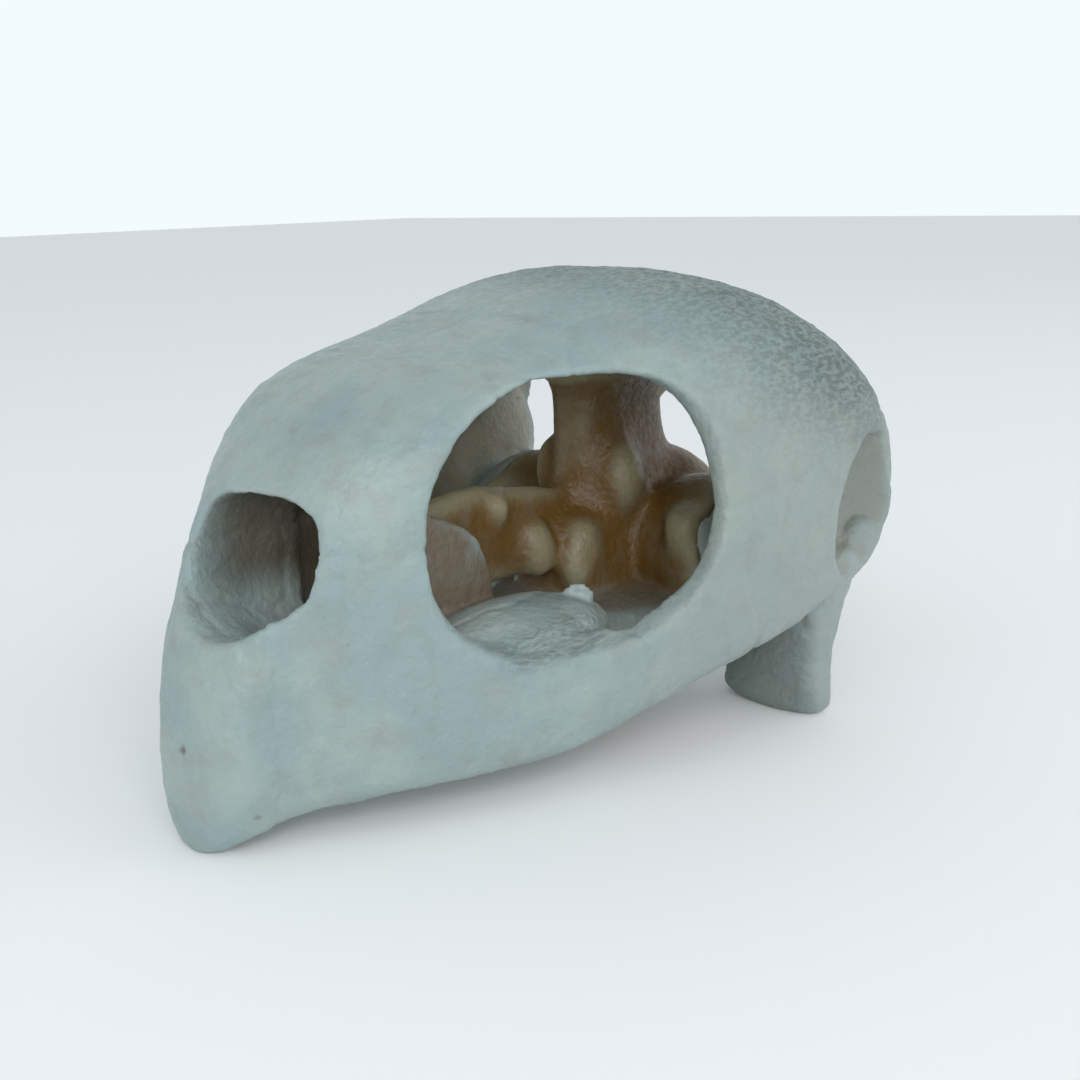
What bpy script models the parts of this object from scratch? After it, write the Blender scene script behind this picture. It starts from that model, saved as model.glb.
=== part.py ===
"""Sea turtle skull without its lower jaw, at life size, resting on its beak tip and its two jaw joints.

Metres, +Z up. The beak points along -Y and the animal's left side is +X. The origin is on the floor,
under the middle of the whole skull. The skull is modelled whole: a hollow helmet of bone, opened for
the eyes, the nose and the jaw muscles, with a palate, a braincase and two jaw joints inside it. It is
then parted along its sutures into its bones.

Every place and size below is in skull lengths, measured from the beak tip: x to the animal's left,
then how far behind the tip, then how high above the floor.
"""

import math
from dataclasses import dataclass

import bmesh
import bpy
import numpy as np
from mathutils import Matrix, Vector
from mathutils.bvhtree import BVHTree

# Driving dimensions, in metres
SKULL_LENGTH = 0.130  # beak tip to the rear of the squamosals
SUTURE_GAP = 0.0003  # left between neighbouring bones

# Driving dimensions, in skull lengths
WALL = 0.030  # thickness of the helmet's bone
BEAK_RIM = 0.030  # thickness of the cutting edge round the mouth
PALATE_TOP = 0.150
PALATE_ROOF = 0.095  # the vault of the mouth under the palate
PALATE_REAR = 0.430
NOSE_REAR = 0.190  # the solid bone between nose and eye sockets ends here
ORIGIN_BEHIND = 0.570
FLOOR = 0.004  # beak tip and jaw joints are worn flat up to this height

# Fineness of the surface
VOXEL = 0.0008
SMOOTH_STEPS = 8
WHOLE_TRIANGLES = 10100
RING_POINTS = 56
LOFT_STATIONS = 60

BONE = (0.62, 0.66, 0.62, 1.0)
AMBER_BONE = (0.30, 0.19, 0.08, 1.0)
BONE_ROUGHNESS = 0.6


@dataclass
class Section:
    """One upright cross section: an arch above its widest level and a wall below it."""

    behind: float
    half_width: float
    widest: float
    top: float
    bottom: float
    arch: float = 2.6
    wall: float = 2.6

    def values(self):
        return (self.half_width, self.widest, self.top, self.bottom, self.arch, self.wall)


@dataclass
class Slice:
    """One level slice of an upright piece: its height, its middle and its half sizes."""

    height: float
    x: float
    behind: float
    half_x: float
    half_y: float

    def values(self):
        return (self.x, self.behind, self.half_x, self.half_y)


@dataclass
class Suture:
    """A thin sheet that parts two bones: a line drawn in one view and carried through the skull.

    With along "x" the line is drawn from the side, as (behind, height), and with along "z" it is drawn
    from above, as (x, behind). A paired suture is mirrored to the right side.
    """

    name: str
    line: list
    along: str
    start: float
    end: float
    paired: bool = False


# The outer surface of the helmet, from the beak tip to the back of the temples
HELMET = [
    Section(-0.042, 0.008, 0.075, 0.100, 0.040, 2.0, 2.0),
    Section(-0.036, 0.036, 0.085, 0.150, 0.012, 2.2, 2.2),
    Section(-0.018, 0.064, 0.110, 0.220, 0.000, 2.5, 2.5),
    Section(0.010, 0.082, 0.170, 0.290, 0.000, 2.7, 3.0),
    Section(0.040, 0.090, 0.230, 0.350, 0.020, 3.0, 5.0),
    Section(0.080, 0.111, 0.270, 0.402, 0.030, 3.3, 7.0),
    Section(0.130, 0.146, 0.290, 0.446, 0.035, 3.8, 8.0),
    Section(0.200, 0.190, 0.290, 0.490, 0.038, 4.2, 8.0),
    Section(0.280, 0.230, 0.275, 0.522, 0.040, 4.0, 8.0),
    Section(0.380, 0.267, 0.260, 0.545, 0.044, 3.3, 8.0),
    Section(0.480, 0.303, 0.260, 0.571, 0.074, 2.8, 8.0),
    Section(0.580, 0.338, 0.260, 0.594, 0.106, 2.7, 8.0),
    Section(0.680, 0.363, 0.260, 0.609, 0.124, 2.6, 7.0),
    Section(0.780, 0.376, 0.270, 0.604, 0.140, 2.5, 5.0),
    Section(0.880, 0.378, 0.285, 0.580, 0.160, 2.5, 4.0),
    Section(0.960, 0.352, 0.300, 0.532, 0.185, 2.4, 3.0),
    Section(1.015, 0.288, 0.310, 0.458, 0.215, 2.3, 2.4),
    Section(1.045, 0.130, 0.315, 0.380, 0.260, 2.0, 2.0),
]
HELMET_REAR_MOUTH = 0.930  # behind this the inside runs straight out of the back
THROUGH_REAR = 1.100
THROUGH_FLOOR = -0.200
MUSCLE_SPACE_CORNER = 3.0
JAW_SPACE_TOP = 0.420

NOSE = [
    Section(-0.060, 0.084, 0.345, 0.394, 0.243, 3.4, 2.1),
    Section(0.050, 0.087, 0.345, 0.396, 0.243, 3.4, 2.1),
    Section(0.110, 0.084, 0.330, 0.400, 0.212, 2.8, 2.3),
    Section(0.230, 0.050, 0.310, 0.410, 0.170, 2.4, 2.8),
]
NOSE_ASIDE = 0.018  # this skull's nostril lies a little to its left

# The eye socket, square to the way that the eye looks
ORBIT_MIDDLE = (0.239, 0.376, 0.350)
ORBIT_TURN = math.radians(23)  # how far the eye looks forward of sideways
ORBIT_HALF_LENGTH = 0.200
ORBIT_HALF_HEIGHT = 0.162
ORBIT_CORNERS = (3.6, 2.1, 2.6, 2.3)  # roundness behind above, before above, before below, behind below
# How far out along the look, how much smaller than the rim, and how much higher
ORBIT_DEPTHS = ((-0.110, 0.022, 0.016), (-0.050, 0.020, 0.014), (0.0, 0.002, 0.0), (0.120, -0.030, 0.0))

PTERYGOIDS = [
    Section(0.380, 0.150, 0.122, 0.150, 0.095, 3.0, 3.0),
    Section(0.440, 0.170, 0.120, 0.145, 0.095, 3.0, 3.0),
    Section(0.500, 0.125, 0.118, 0.142, 0.095, 3.0, 3.0),
    Section(0.570, 0.105, 0.115, 0.146, 0.085),
    Section(0.650, 0.145, 0.110, 0.152, 0.080),
    Section(0.720, 0.230, 0.110, 0.155, 0.075),
    Section(0.790, 0.270, 0.115, 0.160, 0.080),
    Section(0.850, 0.160, 0.125, 0.190, 0.090, 2.4, 2.4),
    Section(0.920, 0.080, 0.140, 0.200, 0.100, 2.2, 2.2),
    Section(0.965, 0.045, 0.170, 0.205, 0.140, 2.0, 2.0),
]
BRAINCASE = [
    Slice(0.110, 0.0, 0.730, 0.080, 0.170),
    Slice(0.200, 0.0, 0.745, 0.075, 0.135),
    Slice(0.300, 0.0, 0.765, 0.060, 0.115),
    Slice(0.400, 0.0, 0.757, 0.048, 0.100),
    Slice(0.500, 0.0, 0.750, 0.062, 0.105),
    Slice(0.575, 0.0, 0.740, 0.110, 0.125),
]
CREST = [
    Section(0.760, 0.016, 0.460, 0.585, 0.300),
    Section(0.880, 0.014, 0.480, 0.575, 0.395),
    Section(1.000, 0.013, 0.475, 0.535, 0.425),
    Section(1.100, 0.012, 0.460, 0.498, 0.430),
    Section(1.170, 0.010, 0.442, 0.460, 0.424, 2.2, 2.2),
    Section(1.185, 0.004, 0.438, 0.444, 0.432, 2.0, 2.0),
]
QUADRATE = [
    Slice(0.000, 0.310, 0.772, 0.030, 0.018),
    Slice(0.008, 0.295, 0.770, 0.066, 0.030),
    Slice(0.035, 0.288, 0.770, 0.079, 0.034),
    Slice(0.080, 0.290, 0.780, 0.070, 0.036),
    Slice(0.130, 0.300, 0.792, 0.062, 0.046),
    Slice(0.180, 0.295, 0.810, 0.068, 0.065),
    Slice(0.240, 0.290, 0.845, 0.060, 0.080),
    Slice(0.270, 0.300, 0.855, 0.045, 0.070),
]
NOSE_WALL = [
    Slice(0.120, 0.062, 0.295, 0.012, 0.125),
    Slice(0.240, 0.064, 0.290, 0.011, 0.125),
    Slice(0.310, 0.066, 0.265, 0.011, 0.105),
    Slice(0.345, 0.068, 0.225, 0.012, 0.070),
    Slice(0.420, 0.072, 0.215, 0.013, 0.060),
    Slice(0.460, 0.076, 0.205, 0.016, 0.055),
]
SEPTUM = [
    Slice(0.195, 0.0, 0.560, 0.010, 0.130),
    Slice(0.225, 0.0, 0.530, 0.013, 0.175),
    Slice(0.270, 0.0, 0.520, 0.013, 0.185),
    Slice(0.305, 0.0, 0.480, 0.012, 0.160),
    Slice(0.335, 0.0, 0.400, 0.011, 0.080),
    Slice(0.352, 0.0, 0.365, 0.009, 0.040),
]
EAR_WALL_TILT = math.radians(-30)  # the ear and its hollow lean back
EAR_HOLLOW_TILT = math.radians(-35)

# Sutures of the face
NOSE_SEAM = 0.338
PREMAXILLA_REAR = 0.030
VOMER_HALF = 0.045
PALATINE_HALF = 0.140
PALATE_SEAM = 0.434
# Sutures of the temple and the base
BASE_TOP = 0.160
BASE_REAR = 0.820
BASE_HALF = 0.195
TEMPLE_CORNER = (0.660, 0.350)
EAR_TOP = (0.834, 0.391)
PARIETAL_LOW = 0.450
CREST_FRONT = 0.890
CREST_HALF = 0.019
BELOW = -0.050
ABOVE = 0.800
OUTSIDE = 0.500
WORN = FLOOR - 0.5 * SUTURE_GAP / SKULL_LENGTH

SUTURES = [
    Suture("nose_seam", [(-0.10, NOSE_SEAM), (0.46, NOSE_SEAM)], "x", -0.36, 0.36),
    Suture("premaxilla_rear", [(PREMAXILLA_REAR, -0.10), (PREMAXILLA_REAR, NOSE_SEAM)], "x", -0.20, 0.20),
    Suture(
        "vomer_side", [(VOMER_HALF, PREMAXILLA_REAR), (VOMER_HALF, PALATE_SEAM)],
        "z", BELOW, NOSE_SEAM, True,
    ),
    Suture(
        "palatine_edge", [(VOMER_HALF, 0.165), (0.125, 0.175), (PALATINE_HALF, PALATE_SEAM)],
        "z", BELOW, NOSE_SEAM, True,
    ),
    Suture("pterygoid_front", [(PALATE_SEAM, BELOW), (PALATE_SEAM, 0.20)], "x", -BASE_HALF, BASE_HALF),
    Suture("pterygoid_top", [(PALATE_SEAM, BASE_TOP), (BASE_REAR, BASE_TOP)], "x", -BASE_HALF, BASE_HALF),
    Suture("pterygoid_rear", [(BASE_REAR, BELOW), (BASE_REAR, BASE_TOP)], "x", -BASE_HALF, BASE_HALF),
    Suture("pterygoid_middle", [(0.0, PALATE_SEAM), (0.0, BASE_REAR)], "z", BELOW, BASE_TOP),
    Suture("quadrate_inner", [(BASE_HALF, 0.62), (BASE_HALF, 1.05)], "z", BELOW, 0.40, True),
    Suture("jugal_front", [(0.425, 0.30), (0.440, 0.18), (0.475, BELOW)], "x", 0.20, OUTSIDE, True),
    Suture("jugal_top", [(0.480, 0.325), (0.580, 0.335), TEMPLE_CORNER], "x", 0.22, OUTSIDE, True),
    Suture("jugal_rear", [TEMPLE_CORNER, (0.640, 0.250), (0.600, 0.050)], "x", 0.22, OUTSIDE, True),
    Suture("cheek_inner", [(0.322, 0.70), (0.334, 0.75), (0.334, 0.86)], "z", 0.125, 0.40, True),
    Suture("cheek_low", [(0.55, 0.125), (0.81, 0.125)], "x", 0.334, OUTSIDE, True),
    Suture(
        "cheek_rear", [EAR_TOP, (0.850, 0.330), (0.850, 0.290), (0.790, 0.200), (0.800, 0.122)],
        "x", 0.30, OUTSIDE, True,
    ),
    Suture(
        "temple_line", [TEMPLE_CORNER, (0.800, 0.385), (0.950, 0.410), (1.15, 0.420)],
        "x", 0.22, OUTSIDE, True,
    ),
    Suture(
        "squamosal_front", [EAR_TOP, (0.925, 0.370), (0.955, 0.290), (0.920, BELOW)],
        "x", BASE_HALF, OUTSIDE, True,
    ),
    Suture(
        "prefrontal_rear", [(-0.30, 0.285), (-0.10, 0.310), (0.0, 0.290), (0.10, 0.310), (0.30, 0.285)],
        "z", 0.40, ABOVE,
    ),
    Suture(
        "frontal_rear", [(-0.151, 0.470), (-0.06, 0.455), (0.0, 0.475), (0.06, 0.455), (0.151, 0.470)],
        "z", 0.44, ABOVE,
    ),
    Suture("front_middle", [(0.0, -0.20), (0.0, 0.475)], "z", NOSE_SEAM, ABOVE),
    Suture("rear_middle", [(0.0, 0.47), (0.0, CREST_FRONT)], "z", PARIETAL_LOW, ABOVE),
    Suture(
        "parietal_edge",
        [(0.250, 0.350), (0.150, 0.470), (0.168, 0.600), (0.205, 0.760), (0.250, 0.900), (0.255, 1.15)],
        "z", 0.42, ABOVE, True,
    ),
    Suture("parietal_low", [(0.50, PARIETAL_LOW), (CREST_FRONT, PARIETAL_LOW)], "x", -0.20, 0.20),
    Suture(
        "crest_front", [(CREST_FRONT, PARIETAL_LOW), (CREST_FRONT, ABOVE)],
        "x", -CREST_HALF, CREST_HALF,
    ),
    Suture("crest_side", [(CREST_HALF, CREST_FRONT), (CREST_HALF, 1.15)], "z", PARIETAL_LOW, ABOVE, True),
    Suture("worn_tips", [(-0.20, WORN), (1.30, WORN)], "x", -0.60, 0.60),
]

# One point on or near each bone, by which the parted pieces are named
MIDDLE_BONES = {
    "premaxilla": (0.0, -0.020, 0.150),
    "vomer": (0.0, 0.300, 0.120),
    "braincase": (0.0, 0.900, 0.350),
}
PAIRED_BONES = {
    "maxilla": (0.180, 0.200, 0.130),
    "prefrontal": (0.080, 0.180, 0.470),
    "frontal": (0.080, 0.380, 0.550),
    "parietal": (0.100, 0.700, 0.600),
    "postorbital": (0.300, 0.680, 0.500),
    "jugal": (0.300, 0.520, 0.200),
    "quadratojugal": (0.360, 0.680, 0.280),
    "squamosal": (0.340, 0.980, 0.320),
    "quadrate": (0.280, 0.770, 0.050),
    "palatine": (0.090, 0.350, 0.130),
    "pterygoid": (0.080, 0.600, 0.120),
}
AMBER_BONES = ("braincase", "pterygoid", "palatine", "vomer")


def place(x, behind, z):
    """A point in metres, from skull lengths."""
    return Vector((x, behind - ORIGIN_BEHIND, z - FLOOR)) * SKULL_LENGTH


def smooth_values(at, knots, values):
    """Cubic curve through the values at the knots, read at the given places, column by column."""
    knots, values = np.asarray(knots, float), np.asarray(values, float)
    slopes = np.gradient(values, knots, axis=0)
    i = np.clip(np.searchsorted(knots, at) - 1, 0, len(knots) - 2)
    step = knots[i + 1] - knots[i]
    t = ((at - knots[i]) / step)[:, None]
    step = step[:, None]
    return (
        (2 * t**3 - 3 * t**2 + 1) * values[i]
        + (t**3 - 2 * t**2 + t) * step * slopes[i]
        + (3 * t**2 - 2 * t**3) * values[i + 1]
        + (t**3 - t**2) * step * slopes[i + 1]
    )


def sections_at(sections, at):
    """The smoothed values of a row of sections at the given distances behind the beak tip."""
    return smooth_values(at, [s.behind for s in sections], [s.values() for s in sections])


def power_circle(k, power):
    """Point k of RING_POINTS round the unit superellipse."""
    angle = 2 * math.pi * k / RING_POINTS
    c, s = math.cos(angle), math.sin(angle)
    return math.copysign(abs(c) ** (2 / power), c), math.copysign(abs(s) ** (2 / power), s)


def upright_ring(behind, half_width, widest, top, bottom, arch, wall):
    """The closed outline of one cross section."""
    points = []
    for k in range(RING_POINTS):
        above = k < RING_POINTS // 2
        x, z = power_circle(k, arch if above else wall)
        reach = top - widest if above else widest - bottom
        points.append(place(half_width * x, behind, widest + reach * z))
    return points


def mesh_object(name, bm):
    """A new object that takes over the bmesh, with its faces pointing out."""
    mesh = bpy.data.meshes.new(name)
    bmesh.ops.recalc_face_normals(bm, faces=bm.faces)
    bm.to_mesh(mesh)
    bm.free()
    obj = bpy.data.objects.new(name, mesh)
    bpy.context.scene.collection.objects.link(obj)
    return obj


def skin(name, outlines):
    """A closed solid through outlines of equally many points."""
    bm = bmesh.new()
    rings = [[bm.verts.new(p) for p in outline] for outline in outlines]
    count = len(rings[0])
    for a, b in zip(rings, rings[1:]):
        for k in range(count):
            n = (k + 1) % count
            bm.faces.new((a[k], b[k], b[n], a[n]))
    bm.faces.new(rings[0])
    bm.faces.new(reversed(rings[-1]))
    return mesh_object(name, bm)


def loft(name, sections):
    """A closed solid through upright sections, with its stations crowded at both ends."""
    share = 0.5 - 0.5 * np.cos(np.linspace(0, math.pi, LOFT_STATIONS))
    first, last = sections[0].behind, sections[-1].behind
    at = first + (last - first) * share
    return skin(name, [upright_ring(y, *row) for y, row in zip(at, sections_at(sections, at))])


def hollow(name, start, end, inset, floor, ceiling=None, corner=None):
    """A space of the helmet's own form, smaller all round by the inset, between two heights."""
    at = np.linspace(start, end, LOFT_STATIONS)
    rows = sections_at(HELMET, np.minimum(at, HELMET_REAR_MOUTH))
    outlines = []
    for y, (width, widest, top, _, arch, wall) in zip(at, rows):
        high = top - inset if ceiling is None else ceiling
        widest = min(widest, 0.5 * (floor + high))
        outlines.append(upright_ring(y, width - inset, widest, high, floor, arch, corner or wall))
    return skin(name, outlines)


def stalk(name, slices):
    """A closed upright solid through level slices."""
    roundness = 2.3
    heights = [s.height for s in slices]
    at = np.linspace(heights[0], heights[-1], LOFT_STATIONS // 2)
    ring = [power_circle(k, roundness) for k in range(RING_POINTS)]
    outlines = []
    for z, (x, y, half_x, half_y) in zip(at, smooth_values(at, heights, [s.values() for s in slices])):
        outlines.append([place(x + half_x * u, y + half_y * v, z) for u, v in ring])
    return skin(name, outlines)


def egg(name, middle, radii, tilt=0.0):
    """A closed ellipsoid, leaning back by the tilt."""
    bm = bmesh.new()
    bmesh.ops.create_uvsphere(bm, u_segments=32, v_segments=20, radius=SKULL_LENGTH)
    shape = Matrix.Rotation(tilt, 4, "X") @ Matrix.Diagonal((*radii, 1))
    bmesh.ops.transform(bm, matrix=Matrix.Translation(place(*middle)) @ shape, verts=bm.verts)
    return mesh_object(name, bm)


def nostril(name):
    """The space of the nose, from the nostril back."""
    bore = loft(name, NOSE)
    bore.data.transform(Matrix.Translation((NOSE_ASIDE * SKULL_LENGTH, 0, 0)))
    return bore


def orbit(name):
    """The space through the left eye socket, tapering inwards so that the rim shows its thickness."""
    look = Vector((math.cos(ORBIT_TURN), -math.sin(ORBIT_TURN), 0))
    along = Vector((math.sin(ORBIT_TURN), math.cos(ORBIT_TURN), 0))
    outlines = []
    for reach, shrink, lift in ORBIT_DEPTHS:
        points = []
        for k in range(RING_POINTS):
            u, v = power_circle(k, ORBIT_CORNERS[4 * k // RING_POINTS])
            u, v = u * (ORBIT_HALF_LENGTH - shrink), v * (ORBIT_HALF_HEIGHT - shrink) + lift
            offset = along * u + Vector((0, 0, v)) + look * reach
            points.append(place(*ORBIT_MIDDLE) + offset * SKULL_LENGTH)
        outlines.append(points)
    return skin(name, outlines)


def sheet(suture):
    """The thin solid of one suture."""
    half = 0.5 * SUTURE_GAP / SKULL_LENGTH
    points = [Vector(p) for p in suture.line]
    front, back = [], []
    for i, point in enumerate(points):
        way = (points[min(i + 1, len(points) - 1)] - points[max(i - 1, 0)]).normalized()
        aside = Vector((-way.y, way.x)) * half
        front.append(point + aside)
        back.append(point - aside)
    outline = front + back[::-1]
    if suture.along == "x":
        rings = [[place(reach, p.x, p.y) for p in outline] for reach in (suture.start, suture.end)]
    else:
        rings = [[place(p.x, p.y, reach) for p in outline] for reach in (suture.start, suture.end)]
    return skin(suture.name, rings)


def both_sides(make, *args):
    """The left piece and its mirror image on the right."""
    left = make(*args)
    bm = bmesh.new()
    bm.from_mesh(left.data)
    bmesh.ops.transform(bm, matrix=Matrix.Diagonal((-1, 1, 1, 1)), verts=bm.verts)
    return [left, mesh_object(left.name + "_right", bm)]


def apply_modifiers(obj):
    """Makes the object's evaluated shape its own mesh."""
    graph = bpy.context.evaluated_depsgraph_get()
    mesh = bpy.data.meshes.new_from_object(obj.evaluated_get(graph))
    obj.modifiers.clear()
    obj.data = mesh


def combine(target, pieces, operation):
    """Joins the pieces to the target, or cuts them from it, and removes them."""
    group = bpy.data.collections.new(operation)
    bpy.context.scene.collection.children.link(group)
    for piece in pieces:
        bpy.context.scene.collection.objects.unlink(piece)
        group.objects.link(piece)
    modifier = target.modifiers.new(operation, "BOOLEAN")
    modifier.operation = operation
    modifier.solver = "EXACT"
    modifier.operand_type = "COLLECTION"
    modifier.collection = group
    apply_modifiers(target)
    for piece in list(group.objects):
        bpy.data.objects.remove(piece)
    bpy.data.collections.remove(group)


def soften(obj):
    """Rounds the hard edges that joining and cutting leave, and thins the mesh to its size."""
    remesh = obj.modifiers.new("even skin", "REMESH")
    remesh.mode = "VOXEL"
    remesh.voxel_size = VOXEL
    relax = obj.modifiers.new("relax", "SMOOTH")
    relax.factor = 0.5
    relax.iterations = SMOOTH_STEPS
    apply_modifiers(obj)
    obj.data.calc_loop_triangles()
    thin = obj.modifiers.new("thin out", "DECIMATE")
    thin.ratio = WHOLE_TRIANGLES / len(obj.data.loop_triangles)
    thin.use_collapse_triangulate = True
    apply_modifiers(obj)


def open_spaces():
    """The spaces for the jaw muscles, the mouth, the nose and the eyes."""
    return [
        hollow("muscle_space", NOSE_REAR, THROUGH_REAR, WALL, PALATE_TOP, corner=MUSCLE_SPACE_CORNER),
        hollow("jaw_space", PALATE_REAR, THROUGH_REAR, WALL, THROUGH_FLOOR, ceiling=JAW_SPACE_TOP),
        hollow("mouth", 0.0, PALATE_REAR + 0.5 * WALL, BEAK_RIM, THROUGH_FLOOR, ceiling=PALATE_ROOF),
        nostril("nose"),
        *both_sides(orbit, "orbit"),
        *both_sides(egg, "temple_notch", (0.190, 1.080, 0.500), (0.125, 0.155, 0.300)),
    ]


def inner_bones():
    """What stands inside the helmet."""
    return [
        loft("pterygoids", PTERYGOIDS),
        stalk("braincase", BRAINCASE),
        loft("crest", CREST),
        egg("brain_rear", (0.0, 0.870, 0.235), (0.120, 0.090, 0.095)),
        egg("condyle", (0.0, 0.975, 0.185), (0.036, 0.035, 0.034)),
        *both_sides(egg, "ear_capsule", (0.160, 0.800, 0.205), (0.130, 0.100, 0.105)),
        *both_sides(egg, "capsule_lobe", (0.172, 0.715, 0.245), (0.040, 0.035, 0.040)),
        *both_sides(egg, "trochlea", (0.060, 0.710, 0.310), (0.030, 0.032, 0.054)),
        *both_sides(egg, "epipterygoid", (0.040, 0.632, 0.208), (0.030, 0.042, 0.060)),
        *both_sides(egg, "paroccipital", (0.210, 0.905, 0.245), (0.100, 0.036, 0.044)),
        *both_sides(egg, "ear_wall", (0.330, 0.860, 0.285), (0.052, 0.105, 0.120), EAR_WALL_TILT),
        *both_sides(stalk, "quadrate", QUADRATE),
        *both_sides(stalk, "nose_wall", NOSE_WALL),
        stalk("septum", SEPTUM),
    ]


def small_holes():
    """The hollows and holes in those inner bones."""
    return [
        *both_sides(egg, "ear_hollow", (0.405, 0.855, 0.290), (0.085, 0.088, 0.125), EAR_HOLLOW_TILT),
        *both_sides(egg, "choana", (0.034, 0.345, 0.120), (0.024, 0.060, 0.080)),
        *both_sides(egg, "nerve_hole", (0.118, 0.690, 0.240), (0.034, 0.040, 0.030)),
        egg("foramen_magnum", (0.0, 0.960, 0.262), (0.040, 0.120, 0.046)),
    ]


def whole_skull():
    skull = loft("skull", HELMET)
    combine(skull, open_spaces(), "DIFFERENCE")
    combine(skull, inner_bones(), "UNION")
    combine(skull, small_holes(), "DIFFERENCE")
    soften(skull)
    return skull


def loose_pieces(obj):
    """The separate closed bodies of an object, each as a bmesh."""
    whole = bmesh.new()
    whole.from_mesh(obj.data)
    waiting = set(whole.verts)
    pieces = []
    while waiting:
        front = [waiting.pop()]
        group = {front[0].index}
        while front:
            for edge in front.pop().link_edges:
                for vert in edge.verts:
                    if vert in waiting:
                        waiting.remove(vert)
                        group.add(vert.index)
                        front.append(vert)
        piece = whole.copy()
        others = [v for v in piece.verts if v.index not in group]
        bmesh.ops.delete(piece, geom=others, context="VERTS")
        pieces.append(piece)
    whole.free()
    return pieces


def bone_points():
    """The naming point of every bone, left and right."""
    points = dict(MIDDLE_BONES)
    for name, (x, behind, z) in PAIRED_BONES.items():
        points["left_" + name] = (x, behind, z)
        points["right_" + name] = (-x, behind, z)
    return points


def bone_material(name):
    """The bone's own Principled material."""
    material = bpy.data.materials.new(name + "_bone")
    material.use_nodes = True
    shader = material.node_tree.nodes["Principled BSDF"]
    amber = name.endswith(AMBER_BONES)
    shader.inputs["Base Color"].default_value = AMBER_BONE if amber else BONE
    shader.inputs["Roughness"].default_value = BONE_ROUGHNESS
    return material


def part_into_bones(skull):
    """Parts the skull along its sutures; each bone is the piece nearest to its naming point."""
    sheets = []
    for suture in SUTURES:
        sheets += both_sides(sheet, suture) if suture.paired else [sheet(suture)]
    combine(skull, sheets, "DIFFERENCE")
    pieces = loose_pieces(skull)
    bpy.data.objects.remove(skull)
    trees = [BVHTree.FromBMesh(piece) for piece in pieces]
    for name, point in bone_points().items():
        distances = [tree.find_nearest(place(*point))[3] for tree in trees]
        nearest = pieces[distances.index(min(distances))]
        bone = mesh_object(name, nearest.copy())
        bone.data.materials.append(bone_material(name))
    for piece in pieces:
        piece.free()


def main():
    for obj in list(bpy.data.objects):
        bpy.data.objects.remove(obj)
    part_into_bones(whole_skull())


main()
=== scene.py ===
"""Looks of a sea turtle skull without its lower jaw.

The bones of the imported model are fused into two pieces, the face with the temples and the braincase
with its crest, each with its relief carved in and a finish of dry or amber bone. A plain floor,
soft light and the camera stand round them.

Places are in skull lengths from the beak tip, as (left, behind, up), wherever a comment doesn't say
otherwise. The model itself is in metres.
"""

from __future__ import annotations

import logging
import math
from dataclasses import dataclass, field
from enum import Enum

import bpy
import numpy as np
from mathutils import Matrix, Vector, noise
from mathutils.bvhtree import BVHTree

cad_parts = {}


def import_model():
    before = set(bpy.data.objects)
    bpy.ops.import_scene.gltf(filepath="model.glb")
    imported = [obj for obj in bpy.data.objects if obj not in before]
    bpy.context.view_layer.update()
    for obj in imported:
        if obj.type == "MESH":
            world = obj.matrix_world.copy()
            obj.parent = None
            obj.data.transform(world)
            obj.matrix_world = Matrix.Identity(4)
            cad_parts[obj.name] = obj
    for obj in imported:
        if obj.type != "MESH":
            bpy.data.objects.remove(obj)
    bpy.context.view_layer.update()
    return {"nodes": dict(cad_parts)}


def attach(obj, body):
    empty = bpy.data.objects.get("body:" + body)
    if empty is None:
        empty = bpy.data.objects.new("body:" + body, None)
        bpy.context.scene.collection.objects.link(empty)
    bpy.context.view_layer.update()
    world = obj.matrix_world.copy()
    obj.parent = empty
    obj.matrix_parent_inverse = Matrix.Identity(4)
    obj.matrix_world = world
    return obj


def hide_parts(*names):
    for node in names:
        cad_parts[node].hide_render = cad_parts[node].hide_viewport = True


LOG = logging.getLogger("skull")

SKULL_LENGTH = 0.130  # metres, beak tip to the rear of the cheek
ORIGIN_BEHIND = 0.570  # where the model's origin lies behind the beak tip
FLOOR = 0.004
MM = 0.001

BONE_IOR = 1.5
GLOW_RADII = (1.4, 1.0, 0.7)
GLOW_DEPTH = 1.0 * MM
WEIGHT_STEPS = 16

Triple = tuple[float, float, float]
Colour = tuple[float, float, float, float]
Span = tuple[float, float]


class Pattern(Enum):
    """The kinds of relief that bone surfaces show."""

    SWELLS = "CLOUDS"
    WORMY = "STUCCI"


def metres(left: float, behind: float, up: float) -> Vector:
    """Gives a place on the skull in metres."""
    return Vector((left, behind - ORIGIN_BEHIND, up - FLOOR)) * SKULL_LENGTH


def skull_lengths(places: np.ndarray) -> np.ndarray:
    """Turns places in metres into rows of left, behind and up."""
    return places / SKULL_LENGTH + np.array([0.0, ORIGIN_BEHIND, FLOOR])


def direction(azimuth: float, elevation: float) -> Vector:
    """Gives the way from the skull to what stands round it.

    Args:
        azimuth: Its side, in degrees from the front towards the animal's left.
        elevation: Its height, in degrees.

    Returns:
        A direction of length 1.
    """
    az, el = math.radians(azimuth), math.radians(elevation)
    return Vector((math.sin(az) * math.cos(el), -math.cos(az) * math.cos(el), math.sin(el)))


def rise(values: np.ndarray, start: float, end: float) -> np.ndarray:
    """Gives a smooth ramp.

    Args:
        values: What the ramp reads.
        start: The value where the ramp leaves 0.
        end: The value where it reaches 1.

    Returns:
        One weight from 0 to 1 for each value.
    """
    t = np.clip((values - start) / (end - start), 0.0, 1.0)
    return t * t * (3.0 - 2.0 * t)


def fall(values: np.ndarray, start: float, end: float) -> np.ndarray:
    """Gives a smooth ramp that leaves 1 at the start and reaches 0 at the end."""
    return 1.0 - rise(values, start, end)


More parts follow.
